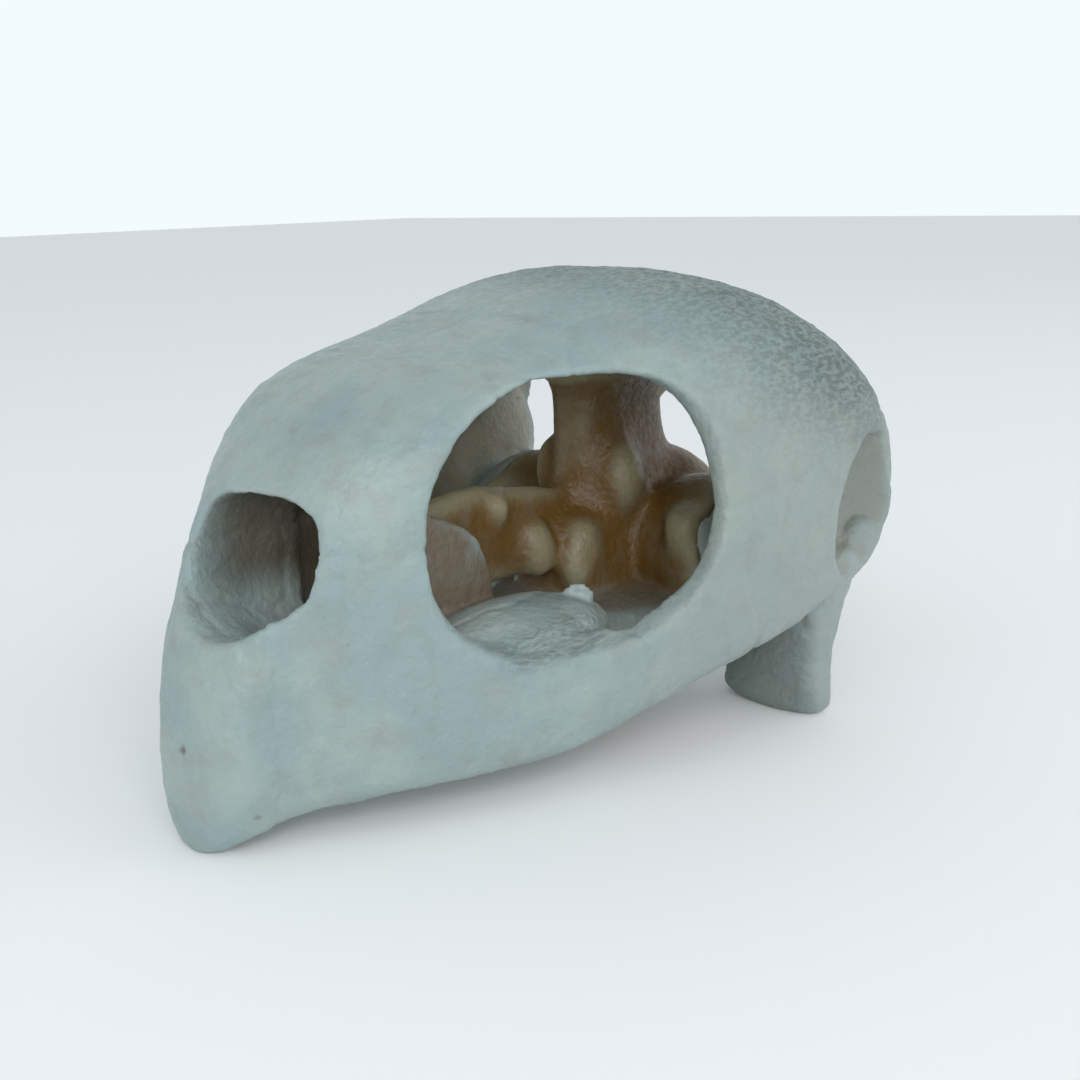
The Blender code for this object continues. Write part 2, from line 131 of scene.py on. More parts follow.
def band(values: np.ndarray, low: Span, high: Span) -> np.ndarray:
    """Gives a smooth ramp up and then one down.

    Args:
        values: What the ramps read.
        low: Where the first ramp leaves 0 and reaches 1.
        high: Where the second ramp leaves 1 and reaches 0.

    Returns:
        One weight from 0 to 1 for each value.
    """
    return rise(values, *low) * fall(values, *high)


def rough_share(places: np.ndarray) -> np.ndarray:
    """Tells how rough the bone is: the roof's rear and the ledges under the eyes are.

    Args:
        places: Places on the surface in metres.

    Returns:
        One share from 0 to 1 for each place.
    """
    left, behind, up = skull_lengths(places).T
    roof = rise(behind + 0.5 * (up - 0.5), 0.48, 0.85) * rise(up, 0.34, 0.47)
    ledge = fall(np.abs(up - 0.200), 0.010, 0.030) * fall(np.abs(behind - 0.40), 0.12, 0.17)
    ledge *= band(np.abs(left), (0.19, 0.21), (0.25, 0.26))
    return np.maximum(roof, 0.45 * ledge)


@dataclass(frozen=True)
class EyeSocket:
    """The opening of the left eye socket, which the right one mirrors."""

    middle: Triple = (0.239, 0.376, 0.350)
    turn: float = 23.0  # degrees that the opening looks forwards
    half_length: float = 0.200
    half_height: float = 0.162
    squareness: float = 2.6

    def wall(self, places: np.ndarray, normals: np.ndarray) -> np.ndarray:
        """Tells where the thickness of the bone shows round the opening.

        Args:
            places: Places on the surface in metres.
            normals: The surface's directions there.

        Returns:
            One share from 0 to 1 for each place.
        """
        at = skull_lengths(places)
        side = np.sign(at[:, 0])
        sine, cosine = math.sin(math.radians(self.turn)), math.cos(math.radians(self.turn))
        along = (side * at[:, 0] - self.middle[0]) * sine + (at[:, 1] - self.middle[1]) * cosine
        up = at[:, 2] - self.middle[2]
        reach = np.abs(along / self.half_length) ** self.squareness
        reach += np.abs(up / self.half_height) ** self.squareness
        lengthwise = side * normals[:, 0] * sine + normals[:, 1] * cosine
        to_middle = np.maximum(-lengthwise * np.sign(along), -normals[:, 2])
        facing = rise(to_middle, 0.40, 0.75)
        facing *= rise(up + 0.5 * along, -0.09, 0.0)
        return facing * fall(reach, 1.0, 1.25) * rise(side * at[:, 0], 0.10, 0.15)


@dataclass(frozen=True)
class Ear:
    """The hollow of each ear, at the rear of the cheek."""

    behind: float = 0.855
    up: float = 0.290
    half_length: float = 0.088
    half_height: float = 0.125

    def hollow(self, places: np.ndarray) -> np.ndarray:
        """Tells where the hollow is.

        Args:
            places: Places on the surface in metres.

        Returns:
            One share from 0 to 1 for each place.
        """
        left, behind, up = skull_lengths(places).T
        along = (behind - self.behind) / self.half_length
        reach = np.hypot(along, (up - self.up) / self.half_height)
        return fall(reach, 0.85, 1.1) * band(np.abs(left), (0.30, 0.33), (0.365, 0.380))


@dataclass
class Survey:
    """What is known of each vertex of a piece, to tell which colours cover it."""

    places: np.ndarray  # metres
    normals: np.ndarray
    enclosed: np.ndarray  # the share of ways out that bone blocks
    raised: np.ndarray  # millimetres above the smoothed surface
    helmet_middle: Span = (0.55, 0.30)
    helmet_squash: float = 0.35

    def __post_init__(self) -> None:
        """Reads off how far to the left, behind and up each vertex lies."""
        self.left, self.behind, self.up = skull_lengths(self.places).T
        self.aside = np.abs(self.left)

    def open_air(self) -> np.ndarray:
        """Tells where nothing shelters the surface."""
        return fall(self.enclosed, 0.45, 0.7)

    def inside(self) -> np.ndarray:
        """Tells where the inner side of the helmet is, less so on floors."""
        behind, up = self.helmet_middle
        along = self.helmet_squash * (self.behind - behind)
        out = np.stack((self.left, along, self.up - up), axis=1)
        out /= np.linalg.norm(out, axis=1)[:, None]
        inward = rise(-np.einsum("ij,ij->i", out, self.normals), -0.05, 0.35)
        walls = 1.0 - 0.8 * rise(self.normals[:, 2], 0.3, 0.8)
        return inward * walls * rise(self.enclosed, 0.15, 0.35)

    def joint_bar(self) -> np.ndarray:
        """Tells where the bars that carry the jaw joints are."""
        return rise(self.behind, 0.66, 0.70) * fall(self.up, 0.14, 0.18)

    def deep(self) -> np.ndarray:
        """Tells where the inside is, past the nose and off the bars of the jaw joints."""
        return self.inside() * rise(self.behind, 0.10, 0.24) * (1.0 - self.joint_bar())

    def nose(self) -> np.ndarray:
        """Tells where the passage of the nose is."""
        return band(self.behind, (0.03, 0.12), (0.24, 0.30)) * fall(self.aside, 0.10, 0.13)

    def nose_walls(self) -> np.ndarray:
        """Tells where the deep upper walls of the nose are, which get umber and painted shade."""
        return self.nose() * rise(self.enclosed, 0.25, 0.45) * rise(self.up, 0.25, 0.30)

    def eye_floor(self) -> np.ndarray:
        """Tells where the plates that floor the eye sockets look up."""
        across = rise(self.aside, 0.07, 0.09) * rise(self.normals[:, 2], 0.0, 0.4)
        along = band(self.behind, (0.18, 0.24), (0.50, 0.56))
        return across * along * band(self.up, (0.160, 0.175), (0.225, 0.245))

    def floors(self) -> np.ndarray:
        """Tells where the sheltered floors of the nose and the eye sockets are, which get painted
        light.
        """
        nose = 0.8 * self.nose() * fall(self.up, 0.22, 0.27)
        return np.maximum(nose, 0.6 * self.eye_floor()) * rise(self.enclosed, 0.1, 0.3)

    def cheek(self) -> np.ndarray:
        """Tells where the open bone behind and below the eyes is."""
        return rise(self.behind, 0.30, 0.60) * self.open_air() * fall(self.up, 0.42, 0.52)

    def hollows(self) -> np.ndarray:
        """Tells where the walls of the eye sockets and the hollows of the ears are."""
        return np.maximum(EyeSocket().wall(self.places, self.normals), Ear().hollow(self.places))

    def shaded_fronts(self) -> np.ndarray:
        """Tells where the fronts of the jaw joints and the tops of the ears are, which get painted
        shade.
        """
        forwards = -self.normals[:, 1] - np.sign(self.left) * self.normals[:, 0]
        front = self.joint_bar() * rise(forwards, 0.0, 0.6)
        return np.maximum(front, 0.5 * Ear().hollow(self.places) * rise(self.up, 0.20, 0.28))


@dataclass
class Bench:
    """One object on the workbench, shaped with operators."""

    obj: bpy.types.Object

    def select(self) -> None:
        """Makes this object the only selected one, and the active one."""
        bpy.ops.object.select_all(action="DESELECT")
        self.obj.select_set(True)
        bpy.context.view_layer.objects.active = self.obj

    def modify(self, kind: str, **settings: object) -> None:
        """Adds one modifier and applies it.

        Args:
            kind: The modifier's type.
            settings: Its values by name.
        """
        self.select()
        bpy.ops.object.modifier_add(type=kind)
        modifier = self.obj.modifiers[-1]
        for name, value in settings.items():
            setattr(modifier, name, value)
        bpy.ops.object.modifier_apply(modifier=modifier.name)

    def swell(self, depth: float) -> None:
        """Moves the surface outwards by a depth in metres, or inwards by a negative one."""
        self.modify("DISPLACE", strength=depth, mid_level=0.0)

    def fuse(self, voxel: float) -> None:
        """Makes one even skin round everything in the object.

        Args:
            voxel: The skin's mesh size in metres.
        """
        self.select()
        self.obj.data.remesh_voxel_size = voxel
        self.obj.data.use_remesh_preserve_volume = False
        bpy.ops.object.voxel_remesh()

    def add(self, pieces: list[Bench]) -> None:
        """Joins shapes to the object, and removes them.

        Args:
            pieces: The shapes, closed meshes.
        """
        for piece in pieces:
            self.modify("BOOLEAN", operation="UNION", solver="MANIFOLD", object=piece.obj)
            bpy.data.objects.remove(piece.obj)

    def read(self, source: object, name: str, width: int, kind: type = np.float32) -> np.ndarray:
        """Reads one property of each vertex or edge.

        Args:
            source: The mesh's vertices, edges or normals.
            name: The property.
            width: How many numbers it has.
            kind: The kind of number.

        Returns:
            One row for each vertex or edge.
        """
        flat = np.empty(width * len(source), kind)
        source.foreach_get(name, flat)
        return flat.reshape(-1, width)

    def places(self) -> np.ndarray:
        """Gives the vertices' places as rows of x, y and z in metres."""
        return self.read(self.obj.data.vertices, "co", 3)

    def normals(self) -> np.ndarray:
        """Gives the vertices' normals as rows."""
        return self.read(self.obj.data.vertex_normals, "vector", 3)

    def edges(self) -> np.ndarray:
        """Gives the two vertices of each edge as rows."""
        return self.read(self.obj.data.edges, "vertices", 2, np.int32)

    def move_to(self, places: np.ndarray) -> None:
        """Moves the vertices.

        Args:
            places: Their new places, as rows of x, y and z in metres.
        """
        self.obj.data.vertices.foreach_set("co", places.astype(np.float32).ravel())
        self.obj.data.update()

    def averaged(self, values: np.ndarray, rounds: int) -> np.ndarray:
        """Spreads values over the surface.

        Args:
            values: One row or number for each vertex.
            rounds: How often each vertex takes the mean of itself and its neighbours.

        Returns:
            The spread values.
        """
        edges, count = self.edges(), len(values)
        neighbours = np.bincount(edges.ravel(), minlength=count).astype(float)
        rows = values.reshape(count, -1).astype(float)
        for _ in range(rounds):
            for column in range(rows.shape[1]):
                old = rows[:, column]
                total = np.bincount(edges[:, 0], old[edges[:, 1]], count)
                total += np.bincount(edges[:, 1], old[edges[:, 0]], count)
                rows[:, column] = 0.5 * old + 0.5 * total / neighbours
        return rows.reshape(values.shape)

    def relax(self, rounds: int) -> None:
        """Evens out the facets without shrinking the form.

        Args:
            rounds: How often the surface is spread and then let back.
        """
        spread, let_back = 1.0, -1.04
        places = self.places().astype(float)
        for _ in range(rounds):
            for share in (spread, let_back):
                places += share * (self.averaged(places, 1) - places)
        self.move_to(places)

    def group(self, name: str, weights: np.ndarray) -> None:
        """Makes a vertex group in a few steps of weight.

        Args:
            name: The group's name.
            weights: One weight from 0 to 1 for each vertex.
        """
        made = self.obj.vertex_groups.new(name=name)
        steps = np.rint(weights * WEIGHT_STEPS).astype(int)
        for step in range(1, WEIGHT_STEPS + 1):
            members = np.nonzero(steps == step)[0]
            made.add(members.tolist(), step / WEIGHT_STEPS, "REPLACE")

    def keep(self, name: str, values: np.ndarray) -> None:
        """Stores one number or colour for each vertex, for the finish to read.

        Args:
            name: The attribute's name.
            values: The numbers, or the colours as rows.
        """
        kind, part = ("FLOAT", "value") if values.ndim == 1 else ("FLOAT_COLOR", "color")
        layer = self.obj.data.attributes.new(name, kind, "POINT")
        layer.data.foreach_set(part, values.astype(np.float32).ravel())

    def thin_out(self, most: int) -> None:
        """Keeps a number of triangles, mostly where the surface bends.

        Args:
            most: How many may stay.
        """
        self.obj.data.calc_loop_triangles()
        count = len(self.obj.data.loop_triangles)
        if count > most:
            self.modify("DECIMATE", ratio=most / count, use_collapse_triangulate=True)


@dataclass(frozen=True)
class Lump:
    """A smooth ellipsoid of bone or dried tissue, with its turns about X, Y and Z in degrees."""

    middle: Triple
    radii: Triple
    turn: Triple = (0.0, 0.0, 0.0)

    def pair(self) -> list[Lump]:
        """Gives the lump and its twin on the other side."""
        left, behind, up = self.middle
        x, y, z = self.turn
        return [self, Lump((-left, behind, up), self.radii, (x, -y, -z))]

    def make(self) -> Bench:
        """Makes the lump, pressed to its size in edit mode.

        Returns:
            The new shape.
        """
        bpy.ops.mesh.primitive_ico_sphere_add(subdivisions=4, radius=SKULL_LENGTH)
        made = Bench(bpy.context.object)
        bpy.ops.object.mode_set(mode="EDIT")
        bpy.ops.transform.resize(value=self.radii)
        bpy.ops.object.mode_set(mode="OBJECT")
        made.obj.rotation_euler = [math.radians(angle) for angle in self.turn]
        made.obj.location = metres(*self.middle)
        bpy.ops.object.transform_apply(location=True, rotation=True, scale=True)
        return made


@dataclass
class Surroundings:
    """All the bones together, to tell how enclosed a place is and which bone it belongs to."""

    nodes: dict[str, bpy.types.Object]
    reach: float = 30.0 * MM
    lift: float = 0.8 * MM  # how far off the surface a look out starts
    rays: int = 14
    seed: int = 11  # of the wandering borders, which the clock would seed otherwise
    owners: list[int] = field(default_factory=list)

    def __post_init__(self) -> None:
        """Builds the search tree over the bones' faces, and the ways out that are looked along."""
        noise.seed_set(self.seed)
        corners: list[Vector] = []
        faces: list[tuple[int, ...]] = []
        for number, name in enumerate(sorted(self.nodes)):
            mesh, start = self.nodes[name].data, len(corners)
            corners += [v.co.copy() for v in mesh.vertices]
            for face in mesh.polygons:
                faces.append(tuple(start + k for k in face.vertices))
                self.owners.append(number)
        self.tree = BVHTree.FromPolygons(corners, faces)
        golden = math.pi * (3.0 - math.sqrt(5.0))
        self.ways = []
        for k in range(self.rays):
            up = 1.0 - (k + 0.5) / self.rays * 2.0
            out = math.sqrt(1.0 - up * up)
            self.ways.append(Vector((out * math.cos(golden * k), out * math.sin(golden * k), up)))

    def enclosure(self, places: np.ndarray, normals: np.ndarray) -> np.ndarray:
        """Tells how enclosed each place is.

        Args:
            places: Places on the surface.
            normals: The surface's directions there.

        Returns:
            The share of ways out that bone blocks, for each place.
        """
        blocked = np.zeros(len(places))
        cast, reach, ways = self.tree.ray_cast, self.reach, self.ways
        for i, (place, normal) in enumerate(zip(places.tolist(), normals.tolist())):
            up = Vector(normal)
            start = Vector(place) + up * self.lift
            hits = 0
            for way in ways:
                if cast(start, way if way.dot(up) > 0.0 else -way, reach)[0] is not None:
                    hits += 1
            blocked[i] = hits
        return blocked / len(ways)

    def bones(self, places: np.ndarray, sway: float, size: float) -> np.ndarray:
        """Tells which bone each place is nearest to, with borders that wander.

        Args:
            places: Places on the surface.
            sway: How far the borders wander, in metres.
            size: The length of one bend of a border, in metres.

        Returns:
            One bone number for each place.
        """
        found = np.zeros(len(places), int)
        find, owners, wander = self.tree.find_nearest, self.owners, noise.noise_vector
        for i, place in enumerate(places.tolist()):
            at = Vector(place)
            found[i] = owners[find(at + wander(at / size) * sway)[2]]
        return found


@dataclass(frozen=True)
class Relief:
    """One pattern of bumps and hollows on the bone, with its size and depth in metres."""

    pattern: Pattern
    size: float
    depth: float
    where: str = ""
    grain: Triple = (1.0, 1.0, 1.0)

    def carve(self, bench: Bench) -> None:
        """Presses the pattern into a surface.

        Args:
            bench: The object to shape.
        """
        texture = bpy.data.textures.new("relief", self.pattern.value)
        texture.noise_scale = self.size
        guide = bpy.data.objects.new("grain", None)
        bpy.context.scene.collection.objects.link(guide)
        guide.scale = self.grain
        bpy.context.view_layer.update()
        bench.modify(
            "DISPLACE",
            texture=texture,
            texture_coords="OBJECT",
            texture_coords_object=guide,
            strength=self.depth,
            mid_level=0.5,
            vertex_group=self.where,
        )
        bpy.data.objects.remove(guide)
        bpy.data.textures.remove(texture)


@dataclass(frozen=True)
class Mark:
    """A small stained pit on the bone, with its radius and depth in millimetres."""

    middle: Triple
    radius: float
    depth: float
    stain: float

    def weight(self, places: np.ndarray) -> np.ndarray:
        """Gives how strongly each place is marked, from 0 to 1."""
        away = np.linalg.norm(places - np.array(metres(*self.middle)), axis=1)
        return fall(away / (self.radius * MM), 0.3, 1.0)


class Nodes:
    """Short ways to lay out a material."""

    def __init__(self, name: str) -> None:
        """Starts a material with its shader.

        Args:
            name: The material's name.
        """
        self.material = bpy.data.materials.new(name)
        self.material.use_nodes = True
        self.tree = self.material.node_tree
        self.shader = self.tree.nodes["Principled BSDF"]
        self.place = self.tree.nodes.new("ShaderNodeTexCoord").outputs["Object"]

    def put(self, socket: bpy.types.NodeSocket, value: object) -> None:
        """Fills a socket.

        Args:
            socket: The socket.
            value: An output to link to it, or its own value.
        """
        if isinstance(value, bpy.types.NodeSocket):
            self.tree.links.new(value, socket)
        else:
            socket.default_value = value

    def stored(self, name: str, output: str = "Fac") -> bpy.types.NodeSocket:
        """Reads what is stored on the surface.

        Args:
            name: The attribute's name.
            output: Which part of it is read.

        Returns:
            The stored number or colour.
        """
        node = self.tree.nodes.new("ShaderNodeAttribute")
        node.attribute_name = name
        return node.outputs[output]

    def stretched(self, scale: Triple) -> bpy.types.NodeSocket:
        """Scales the surface's place along each axis.

        Args:
            scale: The three scales.

        Returns:
            The scaled place.
        """
        node = self.tree.nodes.new("ShaderNodeMapping")
        node.inputs["Scale"].default_value = scale
        self.put(node.inputs["Vector"], self.place)
        return node.outputs["Vector"]

    def noise(
        self, period: float, detail: float = 3.0, at: bpy.types.NodeSocket | None = None
    ) -> bpy.types.NodeSocket:
        """Adds a cloudy pattern.

        Args:
            period: The size of one cloud in metres.
            detail: How many finer clouds lie in it.
            at: The place to read, or none for the surface's own.

        Returns:
            A number from about 0.3 to 0.7.
        """
        node = self.tree.nodes.new("ShaderNodeTexNoise")
        node.inputs["Scale"].default_value = 1.0 / period
        node.inputs["Detail"].default_value = detail
        self.put(node.inputs["Vector"], at or self.place)
        return node.outputs["Fac"]

    def ramp(
        self, value: object, low: float, high: float, start: float = 0.0, end: float = 1.0
    ) -> bpy.types.NodeSocket:
        """Maps a number from one range to another, with soft ends.

        Args:
            value: The number.
            low: Where it leaves the first result.
            high: Where it reaches the last result.
            start: The first result.
            end: The last result.

        Returns:
            The mapped number.
        """
        node = self.tree.nodes.new("ShaderNodeMapRange")
        node.interpolation_type = "SMOOTHSTEP"
        self.put(node.inputs["Value"], value)
        numbers = {"From Min": low, "From Max": high, "To Min": start, "To Max": end}
        for name, number in numbers.items():
            node.inputs[name].default_value = number
        return node.outputs["Result"]

    def math(self, kind: str, first: object, second: object) -> bpy.types.NodeSocket:
        """Works out one number from two.

        Args:
            kind: What is done with them.
            first: The first number.
            second: The second number.

        Returns:
            The result.
        """
        node = self.tree.nodes.new("ShaderNodeMath")
        node.operation = kind
        self.put(node.inputs[0], first)
        self.put(node.inputs[1], second)
        return node.outputs[0]

    def mix(self, share: object, first: object, second: object) -> bpy.types.NodeSocket:
        """Mixes two colours.

        Args:
            share: How much of the second is taken, from 0 to 1.
            first: The first colour.
            second: The second colour.

        Returns:
            The mixed colour.
        """
        node = self.tree.nodes.new("ShaderNodeMix")
        node.data_type = "RGBA"
        self.put(node.inputs["Factor"], share)
        self.put(node.inputs["A"], first)
        self.put(node.inputs["B"], second)
        return node.outputs["Result"]

    def bump(self, height: object, distance: float, before: object = None) -> bpy.types.NodeSocket:
        """Turns a height into a bumpy normal.

        Args:
            height: The height from 0 to 1.
            distance: What a height of 1 stands for, in metres.
            before: A coarser bump to add to.

        Returns:
            The normal.
        """
        node = self.tree.nodes.new("ShaderNodeBump")
        node.inputs["Distance"].default_value = distance
        self.put(node.inputs["Height"], height)
        if before is not None:
            self.put(node.inputs["Normal"], before)
        return node.outputs["Normal"]


def paint(red: float, green: float, blue: float) -> Colour:
    """Turns screen values from 0 to 255 into a colour."""
    linear = [((value / 255 + 0.055) / 1.055) ** 2.4 for value in (red, green, blue)]
    return (*linear, 1.0)


@dataclass(frozen=True)
class BoneFinish:
    """Dry bone, pale outside and amber inside, where oils stayed in it."""

    name: str
    pale: Colour = paint(139, 157, 157)
    milky: Colour = paint(150, 166, 162)
    blush: Colour = paint(143, 148, 141)
    tan: Colour = paint(138, 134, 124)
    inner: Colour = paint(164, 158, 136)
    # painted light: a pale colour that brightens the sheltered floors of the nose and the eye sockets
    floor_light: Colour = paint(178, 192, 190)
    wall: Colour = paint(114, 101, 84)
    # umber with painted shade, for the deep upper walls of the nose
    umber_and_shade: Colour = paint(92, 84, 70)
    # grey: dirt in the rough grain, and painted shade on the fronts of the jaw joints and the tops of
    # the ears
    grey: Colour = paint(78, 90, 86)
    brown: Colour = paint(78, 58, 38)
    amber: Colour = paint(110, 80, 32)
    # painted shade: darker amber where bone encloses the surface
    shaded_amber: Colour = paint(80, 52, 18)
    # cream on the raised lobes, partly their pale tone and partly a painted highlight
    cream_and_highlight: Colour = paint(156, 151, 122)
    streak: Colour = paint(124, 132, 124)
    cloud_size: float = 16.0 * MM
    blotch_size: float = 6.0 * MM
    mottle_size: float = 1.7 * MM
    streak_size: float = 4.0 * MM
    grain_size: float = 0.75 * MM
    grain_depth: float = 1.1 * MM
    relief_size: float = 1.3 * MM
    relief_depth: float = 0.34 * MM
    blotch_scale: Triple = (1.0, 0.7, 1.3)
    streak_scale: Triple = (1.0, 1.0, 0.6)
    grain_scale: Triple = (0.9, 0.45, 0.9)
    roughness: float = 0.42
    glow: float = 0.15

    def grit(self, nodes: Nodes) -> bpy.types.NodeSocket:
        """Adds the fine grain that weathered bone has."""
        return nodes.noise(self.grain_size, 6.0, nodes.stretched(self.grain_scale))

    def colour(self, nodes: Nodes) -> bpy.types.NodeSocket:
        """Lays out the colours, from the open surface to the stains.

        Args:
            nodes: The material.

        Returns:
            The colour.
        """
        clouds = nodes.noise(self.cloud_size)
        blotch = nodes.noise(self.blotch_size, 4.0, nodes.stretched(self.blotch_scale))
        mottle = nodes.noise(self.mottle_size, 4.0)
        streaks = nodes.noise(self.streak_size, 5.0, nodes.stretched(self.streak_scale))
        colour = nodes.mix(nodes.ramp(clouds, 0.38, 0.62), self.pale, self.milky)
        colour = nodes.mix(nodes.ramp(blotch, 0.50, 0.72, 0.0, 0.40), colour, self.blush)
        colour = nodes.mix(nodes.ramp(mottle, 0.55, 0.75, 0.0, 0.28), colour, self.milky)
        colour = nodes.mix(nodes.stored("tint", "Alpha"), colour, nodes.stored("tint", "Color"))
        hollows = nodes.ramp(self.grit(nodes), 0.60, 0.40, 0.28, 0.80)
        dirt = nodes.math("MULTIPLY", hollows, nodes.stored("rough"))
        colour = nodes.mix(dirt, colour, self.grey)
        return nodes.mix(nodes.ramp(streaks, 0.48, 0.70, 0.0, 0.22), colour, self.streak)

    def tint(self, shares: dict[str, np.ndarray]) -> np.ndarray:
        """Works out the colours that follow the skull's form.

        Args:
            shares: How far each named colour covers each vertex, from the lowest layer up.

        Returns:
            A row of red, green, blue and cover for each vertex.
        """
        rows = np.zeros((len(next(iter(shares.values()))), 4))
        for name, share in shares.items():
            layer = np.array(getattr(self, name))
            rows += np.clip(share, 0.0, 1.0)[:, None] * (layer - rows)
        rows[:, :3] /= np.maximum(rows[:, 3:], 0.001)
        return rows

    def make(self) -> bpy.types.Material:
        """Lays out the finish.

        Returns:
            The new material.
        """
        nodes = Nodes(self.name)
        shader = nodes.shader
        nodes.put(shader.inputs["Base Color"], self.colour(nodes))
        relief = nodes.noise(self.relief_size, 5.0)
        gritty = nodes.math("MULTIPLY", self.grit(nodes), nodes.stored("rough"))
        smooth = nodes.bump(relief, self.relief_depth)
        nodes.put(shader.inputs["Normal"], nodes.bump(gritty, self.grain_depth, smooth))
        shine = nodes.ramp(relief, 0.3, 0.7, self.roughness - 0.08, self.roughness + 0.12)
        dull = nodes.math("MULTIPLY", nodes.stored("rough"), 0.15)
        nodes.put(shader.inputs["Roughness"], nodes.math("ADD", shine, dull))
        shader.inputs["Subsurface Weight"].default_value = self.glow
        shader.inputs["Subsurface Radius"].default_value = GLOW_RADII
        shader.inputs["Subsurface Scale"].default_value = GLOW_DEPTH
        shader.inputs["IOR"].default_value = BONE_IOR
        return nodes.material


@dataclass
class BonePiece:
    """Some bones fused into one piece, with their relief."""

    name: str
    bones: tuple[str, ...]
    finish: BoneFinish
    slot: str
    swell: float = 0.24 * MM  # outwards before the bones are fused, to close the gaps
    shrink: float = 0.12 * MM  # back inwards after it
    fill: float = 0.0  # both outwards and back, to fill narrow gaps
    voxel: float = 0.60 * MM
    relax_rounds: int = 14
    settle_rounds: int = 4
    melt_rounds: int = 0  # how far the form is melted into soft swells
    melt_back: float = 0.0
    triangles: int = 196000
    additions: list[Lump] = field(default_factory=list)
    reliefs: list[Relief] = field(default_factory=list)
    marks: list[Mark] = field(default_factory=list)
    inner_share: float = 0.9  # how strongly the inside is coloured
    seam_depth: float = 0.11 * MM
    seam_sway: float = 1.1 * MM
    seam_bend: float = 3.2 * MM

    def gather(self, nodes: dict[str, bpy.types.Object]) -> Bench:
        """Copies the bones into one object with closed surfaces.

        Args:
            nodes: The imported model's nodes.

        Returns:
            The new object.
        """
        bpy.ops.object.select_all(action="DESELECT")
        for bone in self.bones:
            copy = bpy.data.objects.new(self.name, nodes[bone].data.copy())
            bpy.context.scene.collection.objects.link(copy)
            copy.select_set(True)
            bpy.context.view_layer.objects.active = copy
        bpy.ops.object.join()
        bpy.ops.object.mode_set(mode="EDIT")
        bpy.ops.mesh.select_all(action="SELECT")
        bpy.ops.mesh.remove_doubles(threshold=0.005 * MM)
        bpy.ops.object.mode_set(mode="OBJECT")
        made = Bench(bpy.context.object)
        made.obj.name = self.name
        made.obj.data.materials.clear()
        return made

    def shape(self, bench: Bench) -> None:
        """Closes the gaps between the bones and gives them their smooth form.

        Args:
            bench: The piece.
        """
        bench.swell(self.swell + self.fill)
        bench.fuse(self.voxel)
        bench.relax(self.relax_rounds)
        bench.swell(-self.shrink - self.fill)
        if self.additions:
            bench.add([lump.make() for lump in self.additions])
            bench.fuse(self.voxel)
            bench.relax(self.settle_rounds)
        if self.melt_rounds:
            bench.fuse(self.voxel)
            bench.move_to(bench.averaged(bench.places(), self.melt_rounds))
            bench.swell(self.melt_back)

    def carve(self, bench: Bench, around: Surroundings) -> None:
        """Presses the relief, the seams between bones and the pits into the surface.

        Args:
            bench: The piece.
            around: All the bones.
        """
        bench.group("weathered", rough_share(bench.places()))
        for relief in self.reliefs:
            relief.carve(bench)
        places, normals = bench.places().astype(float), bench.normals()
        sunk = bench.averaged(self.seams(bench, around), 1) * self.seam_depth * 2.0
        for mark in self.marks:
            sunk += mark.weight(places) * mark.depth * MM
        places -= normals * sunk[:, None]
        places[:, 2] = np.maximum(places[:, 2], 0.0)
        bench.move_to(places)
        bench.obj.vertex_groups.clear()

    def seams(self, bench: Bench, around: Surroundings) -> np.ndarray:
        """Finds the vertices on a wandering border between two bones.

        Args:
            bench: The piece.
            around: All the bones.

        Returns:
            1 for each vertex on a border and 0 for the others.
        """
        owner = around.bones(bench.places(), self.seam_sway, self.seam_bend)
        edges = bench.edges()
        crossing = edges[owner[edges[:, 0]] != owner[edges[:, 1]]]
        found = np.zeros(len(owner))
        found[crossing.ravel()] = 1.0
        return found

    def stain(self, places: np.ndarray) -> np.ndarray:
        """Tells how stained each place is.

        Args:
            places: Places on the surface in metres.

        Returns:
            One share from 0 to 1 for each place.
        """
        stain = np.zeros(len(places))
        for mark in self.marks:
            stain = np.maximum(stain, mark.weight(places) * mark.stain)
        return stain

    def measure(self, bench: Bench, around: Surroundings) -> None:
        """Stores what the finish reads: how rough the bone is, and what oil, dirt, painted shade and
        painted light colour it.

        Args:
            bench: The piece.
            around: All the bones.
        """
        places, normals = bench.places().astype(float), bench.normals().astype(float)
        enclosed = bench.averaged(around.enclosure(places, normals), 4)
        raised = np.einsum("ij,ij->i", places - bench.averaged(places, 60), normals) / MM
        at = Survey(places, normals, enclosed, raised)
        amber = bench.averaged(self.amber_share(at), 6)
        shares = {
            "tan": 0.8 * bench.averaged(at.hollows(), 1) * fall(raised, 0.05, 0.45),
            "blush": 0.5 * at.cheek(),
            # painted shade on the fronts of the jaw joints and the tops of the ears
            "grey": 0.55 * bench.averaged(at.shaded_fronts(), 3),
            "inner": self.inner_share * bench.averaged(at.deep(), 3),
            # umber and painted shade on the deep upper walls of the nose
            "umber_and_shade": 0.9 * at.nose_walls(),
            # painted light on the sheltered floors of the nose and the eye sockets
            "floor_light": at.floors(),
            "wall": bench.averaged(self.wall_share(at), 4),
            "amber": amber,
            # painted shade: the amber darkens where bone encloses the surface
            "shaded_amber": amber * rise(enclosed, 0.50, 0.90),
            # cream on raised bone, partly its pale tone and partly a painted highlight
            "cream_and_highlight": 0.75 * amber * bench.averaged(rise(raised, 0.05, 0.60), 12),
            "brown": self.stain(places),
        }
        bench.keep("rough", rough_share(places) * at.open_air() * (1.0 - at.inside()))
        bench.keep("tint", self.finish.tint(shares))

    def amber_share(self, at: Survey) -> np.ndarray:
        """Tells how amber the bone is at each vertex."""
        raise NotImplementedError

    def wall_share(self, at: Survey) -> np.ndarray:
        """Tells how pinkish brown the bone is at each vertex."""
        raise NotImplementedError

